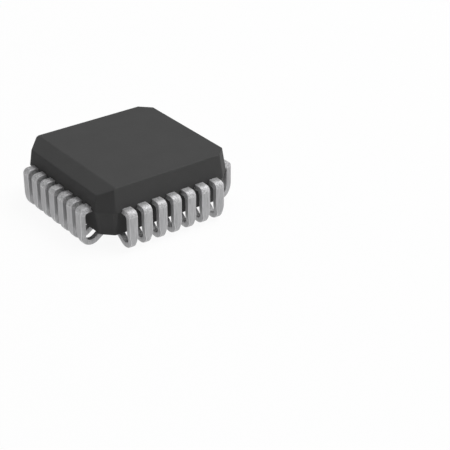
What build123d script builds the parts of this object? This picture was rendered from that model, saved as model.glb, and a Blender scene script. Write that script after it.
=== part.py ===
from build123d import *
import math
import os

# A 28-lead plastic leaded chip carrier, at real size in millimetres.
#
# Frame: +Z is up and the origin lies on the seating plane, where the hooked leads
# touch the board, under the middle of the body. The side with the wide bevel, which
# carries lead 1 in its middle, faces +Y. Leads are numbered counter-clockwise from
# there as seen from above, so leads 1 to 4 and 26 to 28 are on +Y, 5 to 11 on -X,
# 12 to 18 on -Y and 19 to 25 on +X.
#
# Inside, one sheet of copper alloy gives the lead fingers and, set down below them,
# the pad that carries the die. The moulding is poured round all of it, so its solid
# is the outer shape with every inner piece taken out of it.

# Lead pattern
SIDES = 4
LEADS_PER_SIDE = 7
LEAD_SPACING = 1.27
SPAN = 13.38

# The sheet metal strip and its forming
METAL_THICKNESS = 0.43
LEG_WIDTH = 0.72
FOOT_WIDTH = 0.44
SHOULDER_HEIGHT = 3.15
SHOULDER_OUTER_RADIUS = 0.41
SHOULDER_INNER_RADIUS = 0.20
HOOK_RADIUS = 0.92
HOOK_OVERTURN = 34.0
TAIL_LENGTH = 0.85
TAIL_CUT_ANGLE = 35.0
NARROW_TOP = 1.35
NARROW_BOTTOM = 0.44

# The moulded body
BODY_WIDTH = 11.58
BODY_TOP = 4.79
BODY_BOTTOM = 0.95
DRAFT = 8.6
CORNER_CUT = 1.05
TOP_CORNER_ROUND = 0.08
LOWER_CORNER_CUT = 1.00
BOTTOM_CORNER_ROUND = 0.30
PARTING_STEP = 0.08
BEVEL_WIDTH = 1.05
BEVEL_DROP = 0.59
TOP_EDGE_BREAK = 0.05

# Lead fingers inside the body
ROOT_DEPTH = 0.30
WING_DEPTH = 0.55
WING_LENGTH = 0.30
WING_WIDTH = 0.95
FINGER_WIDTH = 0.60
TIP_WIDTH = 0.40
TIP_SPACING = 0.68
TIP_LENGTH = 0.50
TIP_GAP = 0.30

# Die pad, its tie bars, the die and its glue
PAD_SIZE = 5.20
PAD_DROP = 0.35
TIE_WIDTH = 0.35
TIE_RAMP = 0.35
TIE_RAMP_START = 0.45
TIE_COVER = 0.15
DIE_SIZE = 4.00
DIE_THICKNESS = 0.38
GLUE_SIZE = 4.20
GLUE_THICKNESS = 0.03

# Bond wires, drawn with six flats because a mesh of so thin a round would be heavy
WIRE_DIAMETER = 0.05
WIRE_SIDES = 6
WIRE_NECK = 0.08
LOOP_RISE = 0.06
LOOP_RUN = 0.10
BOND_SPACING = 0.50
BOND_EDGE = 0.15
STITCH_DEPTH = 0.22

# Heights and places that follow from the sizes above
PARTING = SHOULDER_HEIGHT - METAL_THICKNESS / 2
WALL = BODY_WIDTH / 2
SLOPE = math.tan(math.radians(DRAFT))
ROOT = WALL - ROOT_DEPTH
LEG_FACE = SPAN / 2
HOOK_CENTRE = LEG_FACE - HOOK_RADIUS
TIP_END = PAD_SIZE / 2 + TIP_GAP
PAD_TOP = SHOULDER_HEIGHT - PAD_DROP
DIE_BOTTOM = PAD_TOP + GLUE_THICKNESS
DIE_TOP = DIE_BOTTOM + DIE_THICKNESS
MIDDLE = (LEADS_PER_SIDE - 1) / 2


def strip_profile():
    """Side view of a formed strip: shoulder, outer leg and hook, +X outwards."""
    under = SHOULDER_HEIGHT - METAL_THICKNESS
    shoulder_start = LEG_FACE - SHOULDER_OUTER_RADIUS
    armpit_start = LEG_FACE - METAL_THICKNESS - SHOULDER_INNER_RADIUS
    turn = -90 - HOOK_OVERTURN
    cut_back = METAL_THICKNESS * math.tan(math.radians(TAIL_CUT_ANGLE))
    with BuildSketch(Plane.XZ) as side:
        with BuildLine():
            top = Line((ROOT, SHOULDER_HEIGHT), (shoulder_start, SHOULDER_HEIGHT))
            shoulder_middle = (shoulder_start, SHOULDER_HEIGHT - SHOULDER_OUTER_RADIUS)
            shoulder = CenterArc(shoulder_middle, SHOULDER_OUTER_RADIUS, 90, -90)
            hook = CenterArc((HOOK_CENTRE, HOOK_RADIUS), HOOK_RADIUS, 0, turn)
            Line(shoulder @ 1, hook @ 0)
            tail = Line(hook @ 1, hook @ 1 + (hook % 1) * TAIL_LENGTH)
            inner_hook = CenterArc((HOOK_CENTRE, HOOK_RADIUS), HOOK_RADIUS - METAL_THICKNESS, 0, turn)
            heel = inner_hook @ 1 + (inner_hook % 1) * (TAIL_LENGTH - cut_back)
            Polyline(tail @ 1, heel, inner_hook @ 1)
            armpit_middle = (armpit_start, under - SHOULDER_INNER_RADIUS)
            armpit = CenterArc(armpit_middle, SHOULDER_INNER_RADIUS, 90, -90)
            Line(inner_hook @ 0, armpit @ 1)
            Polyline(armpit @ 0, (ROOT, under), top @ 0)
        make_face()
    return side.sketch


def foot_trims():
    """What is trimmed off both edges of the strip, in two tangent arcs, to make the foot."""
    leg = LEG_WIDTH / 2
    foot = FOOT_WIDTH / 2
    halfway = ((leg + foot) / 2, (NARROW_TOP + NARROW_BOTTOM) / 2)
    below = -METAL_THICKNESS
    beyond = LEAD_SPACING
    with BuildSketch(Plane.YZ.offset(HOOK_CENTRE)) as front:
        with BuildLine():
            upper = TangentArc((leg, NARROW_TOP), halfway, tangent=(0, -1))
            lower = TangentArc(halfway, (foot, NARROW_BOTTOM), tangent=upper % 1)
            Polyline(lower @ 1, (foot, below), (beyond, below), (beyond, NARROW_TOP), upper @ 0)
        make_face()
        mirror(about=Plane.YZ)
    trims = extrude(front.sketch, LEG_FACE)
    # Inside the hook's centre the strip turns up again, and stays narrow to its tip.
    tail_room = HOOK_RADIUS + TAIL_LENGTH
    for side in (1, -1):
        place = (Align.MAX, Align.CENTER, Align.CENTER)
        beside_tail = Box(tail_room, beyond, 2 * HOOK_RADIUS, align=place)
        trims += Pos(HOOK_CENTRE, side * (foot + beyond / 2), 0) * beside_tail
    return trims


def finger(index):
    """Flat part of one lead inside the body: locking wings, then a run to its tip."""
    wall_y = (index - MIDDLE) * LEAD_SPACING
    tip_y = (index - MIDDLE) * TIP_SPACING
    wing_outer = WALL - WING_DEPTH
    wing_inner = wing_outer - WING_LENGTH
    stations = [
        (ROOT, wall_y, LEG_WIDTH),
        (wing_outer, wall_y, LEG_WIDTH),
        (wing_outer, wall_y, WING_WIDTH),
        (wing_inner, wall_y, WING_WIDTH),
        (wing_inner, wall_y, FINGER_WIDTH),
        (TIP_END + TIP_LENGTH, tip_y, TIP_WIDTH),
        (TIP_END, tip_y, TIP_WIDTH),
    ]
    left = [(x, y + width / 2) for x, y, width in stations]
    right = [(x, y - width / 2) for x, y, width in reversed(stations)]
    with BuildSketch(Plane.XY.offset(SHOULDER_HEIGHT - METAL_THICKNESS)) as plan:
        with BuildLine():
            Polyline(*left, *right, close=True)
        make_face()
    return extrude(plan.sketch, METAL_THICKNESS)


def lead(index):
    """One lead of a side that faces +X."""
    strip = extrude(strip_profile(), LEG_WIDTH / 2, both=True) - foot_trims()
    return Pos(0, (index - MIDDLE) * LEAD_SPACING, 0) * strip + finger(index)


def bond_wire(index):
    """One gold loop from the die to the inner tip of a lead on the +X side."""
    start = Vector(DIE_SIZE / 2 - BOND_EDGE, (index - MIDDLE) * BOND_SPACING, DIE_TOP)
    end = Vector(TIP_END + STITCH_DEPTH, (index - MIDDLE) * TIP_SPACING, SHOULDER_HEIGHT)
    along = Vector(end.X - start.X, end.Y - start.Y, 0)
    upright = Plane(start, x_dir=along, z_dir=along.cross(Vector(0, 0, 1)))
    with BuildPart() as wire:
        with BuildLine(upright):
            Polyline(
                (0, 0),
                (0, WIRE_NECK),
                (LOOP_RUN, WIRE_NECK + LOOP_RISE),
                (along.length, end.Z - start.Z),
            )
        with BuildSketch(Plane(start, x_dir=along)):
            RegularPolygon(WIRE_DIAMETER / 2, WIRE_SIDES)
        sweep(transition=Transition.RIGHT)
    return wire.part


def slab(size, bottom, thickness):
    """A square plate on the body's middle line."""
    return Pos(0, 0, bottom) * Box(size, size, thickness, align=(Align.CENTER, Align.CENTER, Align.MIN))


def die_pad():
    """The set-down pad and its four tie bars, which ramp back up to the sheet's level."""
    base = PAD_TOP - METAL_THICKNESS
    pad = slab(PAD_SIZE, base, METAL_THICKNESS)
    pad_corner = PAD_SIZE / math.sqrt(2)
    body_corner = (BODY_WIDTH - CORNER_CUT) / math.sqrt(2)
    start = pad_corner - TIE_WIDTH
    ramp = pad_corner + TIE_RAMP_START
    end = body_corner - TIE_COVER
    lower = [(start, base), (ramp, base), (ramp + TIE_RAMP, base + PAD_DROP), (end, base + PAD_DROP)]
    upper = [(x, z + METAL_THICKNESS) for x, z in reversed(lower)]
    with BuildSketch(Plane.XZ) as side:
        with BuildLine():
            Polyline(*lower, *upper, close=True)
        make_face()
    tie_bar = extrude(side.sketch, TIE_WIDTH / 2, both=True)
    for corner in range(SIDES):
        pad += Rot(0, 0, 45 + 90 * corner) * tie_bar
    return pad


def parting_outline(width, corner_cut, rounding):
    """Plan of one half of the body where the halves meet: a square with softened, cut corners."""
    with BuildSketch(Plane.XY.offset(PARTING)) as outline:
        Rectangle(width, width)
        chamfer(outline.vertices(), corner_cut)
        fillet(outline.vertices(), rounding)
    return outline.sketch


def bevel_wedge():
    """What the wide bevel takes off the top edge of the +Y side."""
    top_edge = WALL - (BODY_TOP - PARTING) * SLOPE
    foot = BODY_TOP - BEVEL_DROP
    above = BODY_TOP + BEVEL_DROP
    with BuildSketch(Plane.YZ) as side:
        with BuildLine():
            Polyline(
                (top_edge - BEVEL_WIDTH, BODY_TOP),
                (top_edge + BEVEL_DROP * SLOPE, foot),
                (BODY_WIDTH, foot),
                (BODY_WIDTH, above),
                (top_edge - BEVEL_WIDTH, above),
                close=True,
            )
        make_face()
    return extrude(side.sketch, BODY_WIDTH, both=True)


def mould():
    """Outer shape of the body: two drafted halves, and the bevel along the +Y side."""
    rise = BODY_TOP - PARTING
    fall = PARTING - BODY_BOTTOM
    # The draft draws in a corner's round, so it starts wider at the parting line.
    upper_plan = parting_outline(BODY_WIDTH, CORNER_CUT, TOP_CORNER_ROUND + rise * SLOPE)
    upper = extrude(upper_plan, rise, taper=DRAFT)
    upper = chamfer(upper.faces().sort_by(Axis.Z)[-1].edges(), TOP_EDGE_BREAK)
    lower_width = BODY_WIDTH - 2 * PARTING_STEP
    lower_plan = parting_outline(lower_width, LOWER_CORNER_CUT, BOTTOM_CORNER_ROUND + fall * SLOPE)
    lower = extrude(lower_plan, -fall, taper=DRAFT)
    return upper - bevel_wedge() + lower


pieces = {}
for side in range(SIDES):
    turn = Rot(0, 0, 90 * (side + 1))
    for index in range(LEADS_PER_SIDE):
        # Lead 1 is the middle one of the first side.
        order = side * LEADS_PER_SIDE + index - LEADS_PER_SIDE // 2
        number = order % (SIDES * LEADS_PER_SIDE) + 1
        metal = lead(index)
        pieces[f"lead_{number:02d}"] = turn * metal
        pieces[f"bond_wire_{number:02d}"] = turn * (bond_wire(index) - metal)

pieces["die_pad"] = die_pad()
pieces["die_attach"] = slab(GLUE_SIZE, PAD_TOP, GLUE_THICKNESS)
pieces["silicon_die"] = slab(DIE_SIZE, DIE_BOTTOM, DIE_THICKNESS)
pieces["mould_body"] = mould() - list(pieces.values())

os.makedirs("parts", exist_ok=True)
for name, piece in pieces.items():
    export_step(piece, f"parts/{name}.step")
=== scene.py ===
# %% [markdown]
# A plastic leaded chip carrier
#
# This part is a small black block with 28 bright leads that come out of its sides, turn down and
# roll in under it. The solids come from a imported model, at real size and in their real places.
# Here they get what a solid model lacks: rounded stamped edges, a moulded skin and real finishes.

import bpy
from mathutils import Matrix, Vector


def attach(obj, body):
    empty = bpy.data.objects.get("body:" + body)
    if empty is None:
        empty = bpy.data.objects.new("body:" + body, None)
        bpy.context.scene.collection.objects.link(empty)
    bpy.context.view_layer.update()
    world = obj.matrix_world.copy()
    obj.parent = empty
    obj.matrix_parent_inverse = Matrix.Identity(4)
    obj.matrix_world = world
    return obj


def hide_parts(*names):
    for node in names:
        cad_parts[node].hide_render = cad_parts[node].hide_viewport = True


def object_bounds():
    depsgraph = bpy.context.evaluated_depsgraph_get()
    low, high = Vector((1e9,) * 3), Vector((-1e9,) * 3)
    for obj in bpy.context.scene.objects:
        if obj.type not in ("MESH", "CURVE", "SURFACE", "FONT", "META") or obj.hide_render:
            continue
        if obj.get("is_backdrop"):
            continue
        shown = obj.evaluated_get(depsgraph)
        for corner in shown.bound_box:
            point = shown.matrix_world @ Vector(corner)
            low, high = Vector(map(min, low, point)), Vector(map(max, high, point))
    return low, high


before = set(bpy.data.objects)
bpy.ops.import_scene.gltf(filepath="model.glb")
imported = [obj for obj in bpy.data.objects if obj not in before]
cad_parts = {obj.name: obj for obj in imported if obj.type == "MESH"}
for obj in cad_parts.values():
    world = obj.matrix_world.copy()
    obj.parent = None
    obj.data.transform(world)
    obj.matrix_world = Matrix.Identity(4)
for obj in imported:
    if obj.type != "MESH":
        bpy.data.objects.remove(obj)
cad_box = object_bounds()
print("solids:", len(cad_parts))

# %% [markdown]
# Units
#
# Blender works in metres and a chip is drawn in millimetres. Mesh tools also lose precision on
# shapes this small, so each mesh is made in millimetres and shrunk by a thousand at the end.

# %% Millimetres and other helpers
import math

import bmesh
import bpy
from mathutils import Matrix, Vector

MM = 0.001


def object_from(mesh_in_mm, name):
    """Shrinks a bmesh that is drawn in millimetres to metres and makes a smooth-shaded object of it."""
    bmesh.ops.recalc_face_normals(mesh_in_mm, faces=mesh_in_mm.faces)
    bmesh.ops.scale(mesh_in_mm, vec=(MM, MM, MM), verts=mesh_in_mm.verts)
    data = bpy.data.meshes.new(name)
    mesh_in_mm.to_mesh(data)
    mesh_in_mm.free()
    data.shade_smooth()
    piece = bpy.data.objects.new(name, data)
    bpy.context.scene.collection.objects.link(piece)
    return piece


print("solid model in mm:", [tuple(round(v / MM, 2) for v in corner) for corner in cad_box])

# %% [markdown]
# The camera
#
# A product picture of a chip is taken with a long lens from a little above, so that the block
# looks square and hardly tapers. The camera is placed by its direction from the chip, then moved
# sideways, because the chip doesn't stand in the middle of the picture.

# %% Camera
AZIMUTH = math.radians(-126.5296)
ELEVATION = math.radians(29.0726)
ROLL = math.radians(-0.06)
DISTANCE = 100.3424
ASIDE = 7.392
UPWARD = -1.832
LENS = 104.27
FILM_WIDTH = 36

back = Vector((
    math.sin(AZIMUTH) * math.cos(ELEVATION),
    -math.cos(AZIMUTH) * math.cos(ELEVATION),
    math.sin(ELEVATION),
))
level_right = Vector((math.cos(AZIMUTH), math.sin(AZIMUTH), 0))
level_up = back.cross(level_right)
right = level_right * math.cos(ROLL) + level_up * math.sin(ROLL)
up = level_up * math.cos(ROLL) - level_right * math.sin(ROLL)

camera = bpy.data.objects.new("camera", bpy.data.cameras.new("camera"))
camera.data.lens = LENS
camera.data.sensor_width = FILM_WIDTH
camera.data.clip_start = 0.001
camera.data.clip_end = 10
camera.location = (back * DISTANCE + right * ASIDE + up * UPWARD) * MM
camera.rotation_mode = "QUATERNION"
camera.rotation_quaternion = Matrix((right, up, back)).transposed().to_quaternion()
bpy.context.scene.collection.objects.link(camera)
bpy.context.scene.camera = camera
print("camera at", [round(v / MM, 1) for v in camera.location], "mm")

# %% [markdown]
# Colours
#
# A colour picker shows sRGB values, while a shader adds up light in linear values. One function
# turns the first into the second, so that every colour below can be written as a hex code.

# %% Colours and one node helper
def linear(hex_code):
    """An sRGB hex code as linear RGBA."""
    channels = [int(hex_code[i:i + 2], 16) / 255 for i in (1, 3, 5)]
    return [c / 12.92 if c <= 0.04045 else ((c + 0.055) / 1.055) ** 2.4 for c in channels] + [1.0]


def add_node(tree, kind, sockets=None, **settings):
    """Adds a node. Each socket gets a plain value, or a link if it is given another node's output."""
    node = tree.nodes.new("ShaderNode" + kind)
    for name, value in settings.items():
        setattr(node, name, value)
    for name, value in (sockets or {}).items():
        if isinstance(value, bpy.types.NodeSocket):
            tree.links.new(value, node.inputs[name])
        else:
            node.inputs[name].default_value = value
    return node


def new_material(name):
    """An empty node material and its output node."""
    material = bpy.data.materials.new(name)
    material.use_nodes = True
    material.node_tree.nodes.clear()
    return material, add_node(material.node_tree, "OutputMaterial")


def millimetres(tree, stretch=(1, 1, 1)):
    """Object coordinates counted in millimetres, so that a pattern's scale is so many per millimetre."""
    place = add_node(tree, "TexCoord")
    scale = [1000 * s for s in stretch]
    return add_node(tree, "Mapping", {"Vector": place.outputs["Object"], "Scale": scale}).outputs["Vector"]


print("the grey #808080 is", round(linear("#808080")[0], 3), "in linear light")

# %% [markdown]
# Black moulding compound
#
# The block is epoxy filled with powdered silica and a little soot, pressed into a steel mould.
# Both halves of the mould are spark-eroded, which leaves a fine even grain, so the block looks
# matt charcoal all over and never shiny. The grain is about 0.03 mm wide on the real part. It is
# drawn three times as coarse here, because finer grain than a pixel can't be seen. One material
# serves the whole block: its faces differ in tone only because the light does.

# %% Black moulding compound
compound, output = new_material("spark_eroded_black_epoxy")
tree = compound.node_tree
place = millimetres(tree)
cloud = add_node(tree, "TexNoise", {"Vector": place, "Scale": 0.45, "Detail": 3.0})
grain = add_node(tree, "TexNoise", {"Vector": place, "Scale": 10.0, "Detail": 3.0, "Roughness": 0.6})
specks = add_node(tree, "TexVoronoi", {"Vector": place, "Scale": 6.0})
speck = add_node(tree, "MapRange", {
    "Value": specks.outputs["Distance"], "From Min": 0.05, "From Max": 0.16, "To Min": 0.35, "To Max": 0.0,
})
flow = add_node(tree, "Mix", {
    0: cloud.outputs["Fac"], 6: linear("#4a4a4a"), 7: linear("#4f4f4f"),
}, data_type="RGBA")
filled = add_node(tree, "Mix", {
    0: speck.outputs["Result"], 6: flow.outputs[2], 7: linear("#606060"),
}, data_type="RGBA")
dullness = add_node(tree, "MapRange", {
    "Value": grain.outputs["Fac"], "From Min": 0.3, "From Max": 0.7, "To Min": 0.56, "To Max": 0.68,
})
relief = add_node(tree, "Bump", {"Height": grain.outputs["Fac"], "Strength": 0.25, "Distance": 0.02 * MM})
surface = add_node(tree, "BsdfPrincipled", {
    "Base Color": filled.outputs[2],
    "Roughness": dullness.outputs["Result"],
    "Normal": relief.outputs["Normal"],
    "IOR": 1.55,
    "Specular IOR Level": 0.05,
})
tree.links.new(surface.outputs["BSDF"], output.inputs["Surface"])
print("made", compound.name)

# %% [markdown]
# Matt tin plating
#
# The leads are stamped from copper alloy sheet, plated with tin and then bent. Matt tin is pale
# grey and has no mirror shine. Rolling and trimming leave fine lines that run down the legs: a
# noise that is squeezed in height draws them. The plating creases where the strip is bent, so a
# rounder noise with more contrast takes over on the shoulders. Its colours there are also paler,
# a painted highlight on the bend. The two outer rounds of a strip get a paler colour, a painted
# highlight. All 28 leads come from one plated strip, so they share one material. Where it creases
# and where the rounds get the painted highlight are numbers stored on the mesh's own points.
# Only the colour changes at the crease, and the bump keeps one noise throughout. Lines 0.08 mm
# and creases 0.12 mm across are coarser than the real ones, because a pixel is 0.08 mm wide.

# %% Matt tin plating
tin, output = new_material("matt_tin_on_copper_alloy")
tree = tin.node_tree
lines = add_node(tree, "TexNoise", {
    "Vector": millimetres(tree, (1, 1, 0.08)), "Scale": 12.0, "Detail": 4.0, "Roughness": 0.6,
})
mottle = add_node(tree, "TexNoise", {
    "Vector": millimetres(tree), "Scale": 8.0, "Detail": 5.0, "Roughness": 0.7, "Distortion": 0.4,
})
bend = add_node(tree, "Attribute", attribute_name="bend")
pattern = add_node(tree, "Mix", {
    0: bend.outputs["Fac"], 2: lines.outputs["Fac"], 3: mottle.outputs["Fac"],
})
shade = add_node(tree, "MapRange", {"Value": pattern.outputs[0], "From Min": 0.32, "From Max": 0.68})
plain = add_node(tree, "Mix", {
    0: shade.outputs["Result"], 6: linear("#b1b1b2"), 7: linear("#c9c9ca"),
}, data_type="RGBA")
# Shoulder colours: partly the crease's mottle, and partly a painted highlight, as they run paler than the
# plain ones.
creased_and_painted_highlight = add_node(tree, "Mix", {
    0: shade.outputs["Result"], 6: linear("#a2a2a3"), 7: linear("#ececed"),
}, data_type="RGBA")
flat_or_bent = add_node(tree, "Mix", {
    0: bend.outputs["Fac"], 6: plain.outputs[2], 7: creased_and_painted_highlight.outputs[2],
}, data_type="RGBA")
# The paler colour on the outer rounds, read from the edge value on the mesh, is a painted highlight.
edge = add_node(tree, "Attribute", attribute_name="edge")
colour = add_node(tree, "Mix", {
    0: edge.outputs["Fac"], 6: flat_or_bent.outputs[2], 7: linear("#dadadb"),
}, data_type="RGBA")
dullness = add_node(tree, "MapRange", {
    "Value": mottle.outputs["Fac"], "From Min": 0.3, "From Max": 0.7, "To Min": 0.68, "To Max": 0.78,
})
relief = add_node(tree, "Bump", {"Height": mottle.outputs["Fac"], "Strength": 0.2, "Distance": 0.02 * MM})
surface = add_node(tree, "BsdfPrincipled", {
    "Base Color": colour.outputs[2],
    "Roughness": dullness.outputs["Result"],
    "Normal": relief.outputs["Normal"],
    "Metallic": 1.0,
})
tree.links.new(surface.outputs["BSDF"], output.inputs["Surface"])
print("made", tin.name)

# %% [markdown]
# What is inside
#
# The moulding hides the copper pad, the silver-filled glue, the silicon die and the gold wires.
# They are seen only if someone cuts the block open, but each still gets its own finish. Rolled
# copper has long fine lines and the glue has silver flakes of 0.04 mm. The die is nearly a mirror,
# with blocks of circuit a few tenths of a millimetre wide, and drawn gold is almost even.

# %% Bare copper alloy
copper, output = new_material("rolled_copper_alloy")
tree = copper.node_tree
rolling = add_node(tree, "TexNoise", {
    "Vector": millimetres(tree, (1, 0.05, 1)), "Scale": 6.0, "Detail": 4.0,
})
colour = add_node(tree, "Mix", {
    0: rolling.outputs["Fac"], 6: linear("#a8683f"), 7: linear("#c98a5c"),
}, data_type="RGBA")
dullness = add_node(tree, "MapRange", {"Value": rolling.outputs["Fac"], "To Min": 0.28, "To Max": 0.44})
surface = add_node(tree, "BsdfPrincipled", {
    "Base Color": colour.outputs[2], "Roughness": dullness.outputs["Result"], "Metallic": 1.0,
})
tree.links.new(surface.outputs["BSDF"], output.inputs["Surface"])
print("made", copper.name)

# %% Silver-filled glue
glue, output = new_material("silver_filled_epoxy")
tree = glue.node_tree
flakes = add_node(tree, "TexVoronoi", {"Vector": millimetres(tree), "Scale": 25.0})
colour = add_node(tree, "Mix", {
    0: flakes.outputs["Distance"], 6: linear("#c4c2bc"), 7: linear("#8f8d86"),
}, data_type="RGBA")
surface = add_node(tree, "BsdfPrincipled", {
    "Base Color": colour.outputs[2], "Roughness": 0.5, "Metallic": 0.6,
})
tree.links.new(surface.outputs["BSDF"], output.inputs["Surface"])
print("made", glue.name)

# %% Silicon
silicon, output = new_material("patterned_silicon")
tree = silicon.node_tree
blocks = add_node(tree, "TexBrick", {
    "Vector": millimetres(tree), "Scale": 1.0, "Brick Width": 0.42, "Row Height": 0.23, "Mortar Size": 0.01,
    "Color1": linear("#3d4450"), "Color2": linear("#4d4a5e"), "Mortar": linear("#8a8f98"),
})
surface = add_node(tree, "BsdfPrincipled", {
    "Base Color": blocks.outputs["Color"], "Roughness": 0.15, "IOR": 3.0,
})
tree.links.new(surface.outputs["BSDF"], output.inputs["Surface"])
print("made", silicon.name)

# %% Gold wire
gold, output = new_material("drawn_gold_wire")
tree = gold.node_tree
drawn = add_node(tree, "TexNoise", {"Vector": millimetres(tree), "Scale": 30.0, "Detail": 2.0})
colour = add_node(tree, "Mix", {
    0: drawn.outputs["Fac"], 6: linear("#d9a441"), 7: linear("#f0c566"),
}, data_type="RGBA")
surface = add_node(tree, "BsdfPrincipled", {
    "Base Color": colour.outputs[2], "Roughness": 0.22, "Metallic": 1.0,
})
tree.links.new(surface.outputs["BSDF"], output.inputs["Surface"])
print("made", gold.name)

# %% [markdown]
# Finishes on the solids
#
# These inner shapes are right as they are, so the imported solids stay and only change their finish.

# %% Finish the inner solids
INNER_FINISH = {"die_pad": copper, "die_attach": glue, "silicon_die": silicon}

inner_names = [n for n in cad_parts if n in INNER_FINISH or n.startswith("bond_wire")]
for name in inner_names:
    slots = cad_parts[name].data.materials
    slots.clear()
    slots.append(INNER_FINISH.get(name, gold))
print("inner pieces finished:", len(inner_names))

# %% [markdown]
# The moulded block
#
# Two half moulds meet at the middle of the leads, and both halves taper so that the block can be
# pushed out. Its plan is a square with cut corners, and each cut is softened by a small round.
# An outline with its rounds shrinks evenly as the walls lean in, so one function gives the
# outline for any round. Rings of it are stacked and joined, which leaves clean faces to bevel.

# %% Outline of the block
WIDTH = 11.58
TOP = 4.79
BOTTOM = 0.95
PARTING = 2.935
LEAN = math.tan(math.radians(8.6))
CORNER_STEPS = 4


def outline(width, corner_cut, first_round, now_round):
    """Points of a square with cut corners, whose rounds have shrunk from a first size to one now."""
    half = width / 2
    corner = (half, half - corner_cut)
    reach = first_round * math.tan(math.radians(22.5))
    centre = (half - first_round, corner[1] - reach)
    points = []
    for quarter in range(4):
        for mirrored in (False, True):
            steps = [math.radians(45 * step / CORNER_STEPS) for step in range(CORNER_STEPS + 1)]
            for angle in steps:
                x = centre[0] + now_round * math.cos(angle)
                y = centre[1] + now_round * math.sin(angle)
                if mirrored:
                    x = centre[1] + now_round * math.cos(math.radians(45) + angle)
                    y = centre[0] + now_round * math.sin(math.radians(45) + angle)
                turn = math.radians(90 * quarter)
                points.append((
                    x * math.cos(turn) - y * math.sin(turn),
                    x * math.sin(turn) + y * math.cos(turn),
                ))
    return points


print("block", WIDTH, "mm wide and", round(TOP - BOTTOM, 2), "mm thick")

# %% [markdown]
# The four rings
#
# Each half gets a ring at its end and one at the parting line. The lower half is 0.08 mm smaller
# all round, which leaves the thin step that shows where the two halves met.

# %% Stack the rings
STEP = 0.08
UPPER_CUT = 1.05
LOWER_CUT = 1.00
TOP_ROUND = 0.08
BOTTOM_ROUND = 0.30

upper_round = TOP_ROUND + (TOP - PARTING) * LEAN
lower_round = BOTTOM_ROUND + (PARTING - BOTTOM) * LEAN
stack = [
    (BOTTOM, outline(WIDTH - 2 * STEP, LOWER_CUT, lower_round, BOTTOM_ROUND)),
    (PARTING, outline(WIDTH - 2 * STEP, LOWER_CUT, lower_round, lower_round)),
    (PARTING, outline(WIDTH, UPPER_CUT, upper_round, upper_round)),
    (TOP, outline(WIDTH, UPPER_CUT, upper_round, TOP_ROUND)),
]

block = bmesh.new()
rings = [[block.verts.new((x, y, height)) for x, y in points] for height, points in stack]
for low, high in zip(rings, rings[1:]):
    for i in range(len(low)):
        j = (i + 1) % len(low)
        block.faces.new((low[i], low[j], high[j], high[i]))
block.faces.new(list(reversed(rings[0])))
block.faces.new(rings[-1])
print("block rings:", len(rings), "of", len(rings[0]), "points")

# %% [markdown]
# The wide bevel
#
# One top edge has a wide bevel that tells which side lead 1 is on. A plane cuts it off, and the
# hole is closed again. Cutting is simpler than bevelling here, because the bevel is wider than
# it is deep.

# %% Cut the wide bevel
BEVEL_WIDTH = 1.05
BEVEL_DROP = 0.59

top_edge = WIDTH / 2 - (TOP - PARTING) * LEAN
upper_point = Vector((0, top_edge - BEVEL_WIDTH, TOP))
lower_point = Vector((0, top_edge + BEVEL_DROP * LEAN, TOP - BEVEL_DROP))
slope = lower_point - upper_point
outward = Vector((0, -slope.z, slope.y)).normalized()
everything = block.verts[:] + block.edges[:] + block.faces[:]
cut = bmesh.ops.bisect_plane(
    block, geom=everything, plane_co=upper_point, plane_no=outward, clear_outer=True,
)
cut_edges = [e for e in cut["geom_cut"] if isinstance(e, bmesh.types.BMEdge)]
bmesh.ops.holes_fill(block, edges=cut_edges, sides=0)
print("bevel leans", round(math.degrees(math.atan2(-slope.z, slope.y)), 1), "degrees")

# %% [markdown]
# Rounded edges
#
# A steel mould is never perfectly sharp inside, so the block's edges are rounded by a few
# hundredths of a millimetre. Those rounds catch a thin line of light, and without them a model
# looks cut from paper. The parting edge stays sharper than the rest.

# %% Round the block's edges
EDGE_ROUND = 0.07
PARTING_ROUND = 0.02

block.normal_update()


def edges_at(least_angle, accept):
    """Outward edges that turn by at least so many degrees and whose middle is accepted."""
    found = []
    for edge in block.edges:
        middle = (edge.verts[0].co + edge.verts[1].co) / 2
        if len(edge.link_faces) == 2 and accept(middle):
            if edge.calc_face_angle_signed(0) > math.radians(least_angle):
                found.append(edge)
    return found


def round_edges(edges, size):
    """Rounds edges of the block by so many millimetres, in three steps."""
    bmesh.ops.bevel(
        block, geom=edges, offset=size, offset_type="OFFSET", segments=3, profile=0.5,
        affect="EDGES", clamp_overlap=False,
    )
    block.normal_update()


outer_rim = edges_at(20, lambda middle: abs(middle.z - PARTING) > 0.1)
round_edges(outer_rim, EDGE_ROUND)
parting_rim = edges_at(60, lambda middle: abs(middle.z - PARTING) < 0.01)
round_edges(parting_rim, PARTING_ROUND)
print("edges rounded:", len(outer_rim), "and", len(parting_rim), "at the parting line")

mould = object_from(block, "moulded_block")
mould.data.materials.append(compound)
mould.modifiers.new("flat faces stay flat", "WEIGHTED_NORMAL").keep_sharp = True
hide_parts("mould_body")
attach(mould, "root")

# %% [markdown]
# The strip of one lead
#
# A lead is one strip of sheet 0.43 mm thick. Seen from the side it leaves the block level, turns
# down over a shoulder, runs straight down and rolls in under the block in a hook. The strip is
# drawn as stations along that path, each a pair of points: one on the outer side and one on the
# inner side. Bending a straight bar with a curve modifier would be quicker, but it thins the
# shoulder, where the two sides really have different rounds. The outer round ends higher than the
# inner one, so the first station below it is slanted: a level one would fold the inner side back.

# %% Stations along a lead
THICKNESS = 0.43
LEG_FACE = 6.69
SHOULDER_HEIGHT = 3.15
SHOULDER_OUTER = 0.41
SHOULDER_INNER = 0.20
HOOK = 0.92
OVERTURN = 34.0
TAIL = 0.85
TAIL_CUT = 35.0
ROOT_DEPTH = 0.30
ROOT = WIDTH / 2 - ROOT_DEPTH
HOOK_CENTRE = LEG_FACE - HOOK
SLANT_OUTER_DROP = 0.08
SLANT_INNER_DROP = 0.06
LEG_HEIGHTS = (2.2, 1.9, 1.6, 1.4, 1.3, 1.2, 1.1, 1.0)
HOOK_STEPS = 22
TAIL_SHARES = (0.5, 0.96, 1.0)


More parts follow.
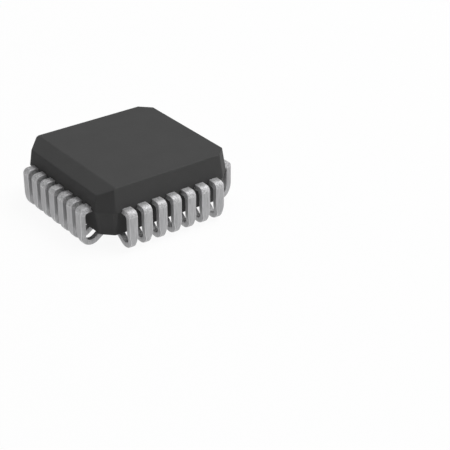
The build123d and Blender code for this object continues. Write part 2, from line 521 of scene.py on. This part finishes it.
def on_arc(centre, radius, degrees):
    """The point of a circle that lies at an angle above the outward direction."""
    angle = math.radians(degrees)
    return Vector((centre[0] + radius * math.cos(angle), centre[1] + radius * math.sin(angle)))


under = SHOULDER_HEIGHT - THICKNESS
shoulder_outer_centre = (LEG_FACE - SHOULDER_OUTER, SHOULDER_HEIGHT - SHOULDER_OUTER)
shoulder_inner_centre = (LEG_FACE - THICKNESS - SHOULDER_INNER, under - SHOULDER_INNER)
stations = [(Vector((ROOT, SHOULDER_HEIGHT)), Vector((ROOT, under)))]
for degrees in range(90, -1, -10):
    stations.append((
        on_arc(shoulder_outer_centre, SHOULDER_OUTER, degrees),
        on_arc(shoulder_inner_centre, SHOULDER_INNER, degrees),
    ))
bent_stations = len(stations)
leg_back = LEG_FACE - THICKNESS
outer_bend_end = SHOULDER_HEIGHT - SHOULDER_OUTER
inner_bend_end = under - SHOULDER_INNER
stations.append((
    Vector((LEG_FACE, outer_bend_end - SLANT_OUTER_DROP)),
    Vector((leg_back, inner_bend_end - SLANT_INNER_DROP)),
))
for height in LEG_HEIGHTS:
    stations.append((Vector((LEG_FACE, height)), Vector((leg_back, height))))
hook_turns = [-(90 + OVERTURN) * step / HOOK_STEPS for step in range(HOOK_STEPS + 1)]
for degrees in hook_turns:
    stations.append((
        on_arc((HOOK_CENTRE, HOOK), HOOK, degrees),
        on_arc((HOOK_CENTRE, HOOK), HOOK - THICKNESS, degrees),
    ))
last_outer, last_inner = stations[-1]
tail_direction = Vector((-math.cos(math.radians(OVERTURN)), math.sin(math.radians(OVERTURN))))
cut_back = THICKNESS * math.tan(math.radians(TAIL_CUT))
for share in TAIL_SHARES:
    stations.append((
        last_outer + tail_direction * TAIL * share,
        last_inner + tail_direction * (TAIL - cut_back) * share,
    ))
for (outer, inner), (next_outer, next_inner) in zip(stations, stations[1:]):
    assert (next_outer - outer).dot(next_inner - inner) > 0, "the strip folds back over itself"
print("stations along a lead:", len(stations), "and none folds back")

# %% [markdown]
# Width and section
#
# The strip is 0.72 mm wide down the leg and is trimmed to 0.44 mm at the foot, so that solder
# can't bridge two feet. The trim is an S curve of two equal arcs. The section is a rectangle
# with rounded corners, because a punch draws the edge of the sheet down as it shears.

# %% Section of a lead
LEG_HALF = 0.36
FOOT_HALF = 0.22
NARROW_TOP = 1.35
NARROW_BOTTOM = 0.44
SHEARED_ROUND = 0.045
SHEARED_STEPS = 3


def half_width(x, z):
    """Half the strip's width at a place on its side view. Only the foot and the hook are trimmed narrow."""
    if z >= NARROW_TOP:
        return LEG_HALF
    if x < HOOK_CENTRE or z <= NARROW_BOTTOM:
        return FOOT_HALF
    height = NARROW_TOP - NARROW_BOTTOM
    inset = LEG_HALF - FOOT_HALF
    radius = (height ** 2 + inset ** 2) / (4 * inset)
    from_end = min(NARROW_TOP - z, z - NARROW_BOTTOM)
    sag = radius - math.sqrt(radius ** 2 - from_end ** 2)
    return LEG_HALF - sag if NARROW_TOP - z < height / 2 else FOOT_HALF + sag


def section(outer, inner, shrink=0.0):
    """Points round the strip at one station: x outwards, y across the strip and z up."""
    thickness = (inner - outer).length
    points = []
    for corner in range(4):
        for step in range(SHEARED_STEPS + 1):
            angle = math.radians(90 * step / SHEARED_STEPS)
            along, away = math.sin(angle), math.cos(angle)
            if corner % 2 == 1:
                along, away = away, along
            depth = SHEARED_ROUND * (1 - away) + shrink
            inset = SHEARED_ROUND * (1 - along) + shrink
            if corner in (1, 2):
                depth = thickness - depth
            place = outer.lerp(inner, depth / thickness)
            side = 1 if corner < 2 else -1
            points.append((place.x, side * (half_width(place.x, place.y) - inset), place.y))
    return points


def painted_highlight_on_rounds():
    """For each point of a section, 1 in the middle of the two outer rounds, which carry a painted
    highlight, else 0.
    """
    return [
        1.0 if corner in (0, 3) and 0 < step < SHEARED_STEPS else 0.0
        for corner in range(4) for step in range(SHEARED_STEPS + 1)
    ]


print("foot", 2 * FOOT_HALF, "mm wide, leg", 2 * LEG_HALF, "mm wide")

# %% [markdown]
# The finger inside the block
#
# Under the plastic the strip goes on as a flat finger. Two wings lock it in the block, and then
# it narrows towards the die. Nobody sees it, but the lead would be wrong without it.

# %% Finger of a lead
LEAD_SPACING = 1.27
TIP_SPACING = 0.68
WING_OUTSIDE = 5.24
WING_INSIDE = 4.94
WING_WIDTH = 0.95
NECK_WIDTH = 0.60
TIP_OUTSIDE = 3.40
TIP_INSIDE = 2.90
TIP_WIDTH = 0.40


def finger_outline(place):
    """Plan of the flat finger of the lead at a place from -3 to 3 along its side."""
    wall = place * LEAD_SPACING
    tip = place * TIP_SPACING
    widths = [
        (ROOT, wall, 2 * LEG_HALF),
        (WING_OUTSIDE, wall, 2 * LEG_HALF),
        (WING_OUTSIDE, wall, WING_WIDTH),
        (WING_INSIDE, wall, WING_WIDTH),
        (WING_INSIDE, wall, NECK_WIDTH),
        (TIP_OUTSIDE, tip, TIP_WIDTH),
        (TIP_INSIDE, tip, TIP_WIDTH),
    ]
    left = [(x, y + width / 2) for x, y, width in widths]
    right_side = [(x, y - width / 2) for x, y, width in reversed(widths)]
    return left + right_side


print("finger tips", TIP_SPACING, "mm apart, leads", LEAD_SPACING, "mm apart")

# %% [markdown]
# All 28 leads
#
# Every lead on a side is the same strip, moved along by 1.27 mm, and the other sides are quarter
# turns of the first. Each lead stays an object of its own, because each is a piece of metal of
# its own, and it takes the place of the plain solid with the same number. Lead 1 is in the middle
# of the side with the wide bevel, and the numbers run on anticlockwise, seen from above.

# %% Make the leads
SIDES = 4
LEADS_PER_SIDE = 7
TAIL_END_SHRINK = 0.03


def make_lead(number, side, place):
    """Makes one lead: its formed strip and its finger, at a place on a side, with its finish."""
    lead = bmesh.new()
    bend, edge = [lead.verts.layers.float.new(name) for name in ("bend", "edge")]
    loops = []
    for index, (outer, inner) in enumerate(stations):
        shrink = TAIL_END_SHRINK if index == len(stations) - 1 else 0.0
        loop = []
        for (x, y, z), painted_highlight in zip(section(outer, inner, shrink), painted_highlight_on_rounds()):
            vert = lead.verts.new((x, y + place * LEAD_SPACING, z))
            # The bend value also places the painted highlight on the shoulders.
            vert[bend] = 1.0 if index < bent_stations else 0.0
            # The edge value marks where the painted highlight on the outer rounds goes.
            vert[edge] = painted_highlight
            loop.append(vert)
        loops.append(loop)
    for first, second in zip(loops, loops[1:]):
        for i in range(len(first)):
            j = (i + 1) % len(first)
            lead.faces.new((first[i], first[j], second[j], second[i]))
    lead.faces.new(loops[0])
    lead.faces.new(list(reversed(loops[-1])))
    plan = finger_outline(place)
    top_points = [lead.verts.new((x, y, SHOULDER_HEIGHT)) for x, y in plan]
    low_points = [lead.verts.new((x, y, under)) for x, y in plan]
    lead.faces.new(top_points)
    lead.faces.new(list(reversed(low_points)))
    for i in range(len(plan)):
        j = (i + 1) % len(plan)
        lead.faces.new((top_points[i], low_points[i], low_points[j], top_points[j]))
    turn = math.radians(90 * (side + 1))
    for vert in lead.verts:
        x, y = vert.co.x, vert.co.y
        vert.co.x = x * math.cos(turn) - y * math.sin(turn)
        vert.co.y = x * math.sin(turn) + y * math.cos(turn)
    piece = object_from(lead, f"tinned_lead_{number:02d}")
    piece.data.materials.append(tin)
    piece.modifiers.new("flat faces stay flat", "WEIGHTED_NORMAL").keep_sharp = True
    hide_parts(f"lead_{number:02d}")
    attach(piece, "root")
    return piece


leads = []
middle_lead = LEADS_PER_SIDE // 2
for side in range(SIDES):
    for index in range(LEADS_PER_SIDE):
        place = index - middle_lead
        number = (side * LEADS_PER_SIDE + place) % (SIDES * LEADS_PER_SIDE) + 1
        leads.append(make_lead(number, side, place))
print("leads made:", len(leads), "with", len(leads[0].data.polygons), "faces each")

# %% [markdown]
# The floor and the room
#
# A catalogue picture stands on white. The floor is white paper that takes the chip's soft
# shadow. Light alone would have to be very strong to make it pure white, so what the camera and
# mirror-like surfaces see of it is lifted by a plain glow, and the lamps can stay at a level at
# which colours look right. The room is kept dim, so that the lamps shape the block, but a pale
# wall stands round it up to about 15 degrees. A low view would otherwise show black on black.
# Paper fibres are far too fine to show, so a faint cloud two millimetres across stands for them.

# %% White paper
PAPER_GLOW = 0.93
FLOOR_RADIUS = 600


def looked_at(tree):
    """1 where the camera, a gloss or glass looks at this, and 0 where it only sends light to others."""
    rays = add_node(tree, "LightPath")
    camera_or_gloss = add_node(tree, "Math", {
        0: rays.outputs["Is Camera Ray"], 1: rays.outputs["Is Glossy Ray"],
    }, operation="MAXIMUM")
    return add_node(tree, "Math", {
        0: camera_or_gloss.outputs["Value"], 1: rays.outputs["Is Transmission Ray"],
    }, operation="MAXIMUM").outputs["Value"]


paper, output = new_material("white_paper")
tree = paper.node_tree
lift = add_node(tree, "Math", {0: looked_at(tree), 1: PAPER_GLOW}, operation="MULTIPLY")
fibres = add_node(tree, "TexNoise", {"Vector": millimetres(tree), "Scale": 0.5, "Detail": 3.0})
sheet = add_node(tree, "Mix", {
    0: fibres.outputs["Fac"], 6: linear("#f2f2f2"), 7: linear("#f6f6f6"),
}, data_type="RGBA")
lit = add_node(tree, "BsdfDiffuse", {"Color": sheet.outputs[2]})
glow = add_node(tree, "Emission", {"Color": (1, 1, 1, 1), "Strength": 1.0})
mixed = add_node(tree, "MixShader", {
    0: lift.outputs["Value"], 1: lit.outputs["BSDF"], 2: glow.outputs["Emission"],
})
tree.links.new(mixed.outputs["Shader"], output.inputs["Surface"])

floor_mesh = bmesh.new()
bmesh.ops.create_circle(floor_mesh, cap_ends=True, radius=FLOOR_RADIUS, segments=96)
floor = object_from(floor_mesh, "paper_floor")
floor.data.materials.append(paper)
floor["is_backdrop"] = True
print("floor", round(floor.dimensions.x / MM), "mm across")

# %% Dim room
# The wall fades out between these two heights, which are the sines of 12 and 17 degrees.
WALL_FADE_START = 0.2
WALL_FADE_END = 0.3
WALL_LIGHT = 0.5
ROOM_LIGHT = 0.05

world = bpy.data.worlds.new("dim_studio")
bpy.context.scene.world = world
world.use_nodes = True
tree = world.node_tree
tree.nodes.clear()
direction = add_node(tree, "SeparateXYZ", {"Vector": add_node(tree, "TexCoord").outputs["Generated"]})
wall = add_node(tree, "MapRange", {
    "Value": direction.outputs["Z"],
    "From Min": WALL_FADE_START,
    "From Max": WALL_FADE_END,
    "To Min": WALL_LIGHT,
    "To Max": ROOM_LIGHT,
})
level = add_node(tree, "Mix", {0: looked_at(tree), 2: ROOM_LIGHT, 3: wall.outputs["Result"]})
room = add_node(tree, "Background", {"Color": (1, 1, 1, 1), "Strength": level.outputs[0]})
add_node(tree, "OutputWorld", {"Surface": room.outputs["Background"]})
print("made", world.name)

# %% [markdown]
# Lamps
#
# The main soft box stands high behind the chip, on the right, and leaves the bevelled side darker
# than the other. One overhead fills in. Two weak ones, low on the right and behind on the left,
# put light on the leads. All are large and near, so that shadows have no hard edge.
# Their powers were fitted to how bright each face of the block is in the photograph, while all
# its faces have one colour, and they light the top at about the level where a colour looks as
# written.

# %% Soft boxes
LAMP_DISTANCE = 400


def soft_box(name, azimuth, elevation, size, watts):
    """A square lamp that looks at the chip. Azimuth is where it stands, counted from +X towards +Y."""
    a, e = math.radians(azimuth), math.radians(elevation)
    direction = Vector((math.cos(a) * math.cos(e), math.sin(a) * math.cos(e), math.sin(e)))
    lamp = bpy.data.objects.new(name, bpy.data.lights.new(name, "AREA"))
    lamp.data.size = size * MM
    lamp.data.energy = watts
    lamp.location = direction * LAMP_DISTANCE * MM
    lamp.rotation_mode = "QUATERNION"
    lamp.rotation_quaternion = direction.to_track_quat("Z", "Y")
    bpy.context.scene.collection.objects.link(lamp)
    return lamp


lamps = [
    soft_box("overhead", 0, 89, 400, 0.6),
    soft_box("back_right", 255, 60, 250, 1.1),
    soft_box("low_right", 210, 12, 250, 0.26),
    soft_box("back_left", 35, 30, 200, 0.1),
]
bpy.context.scene.view_settings.view_transform = "Standard"
print("lamps:", {lamp.name: round(lamp.data.energy, 2) for lamp in lamps})

# %% [markdown]
# Sizes
#
# The dressed part must be as large as the solid model. Both boxes are measured and printed.

# %% Measure and finish
visual_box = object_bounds()
boxes = {
    "cad": [list(corner) for corner in cad_box],
    "visual": [list(corner) for corner in visual_box],
}
for name, corners in boxes.items():
    print(name, "box in mm:", [[round(v / MM, 3) for v in corner] for corner in corners])
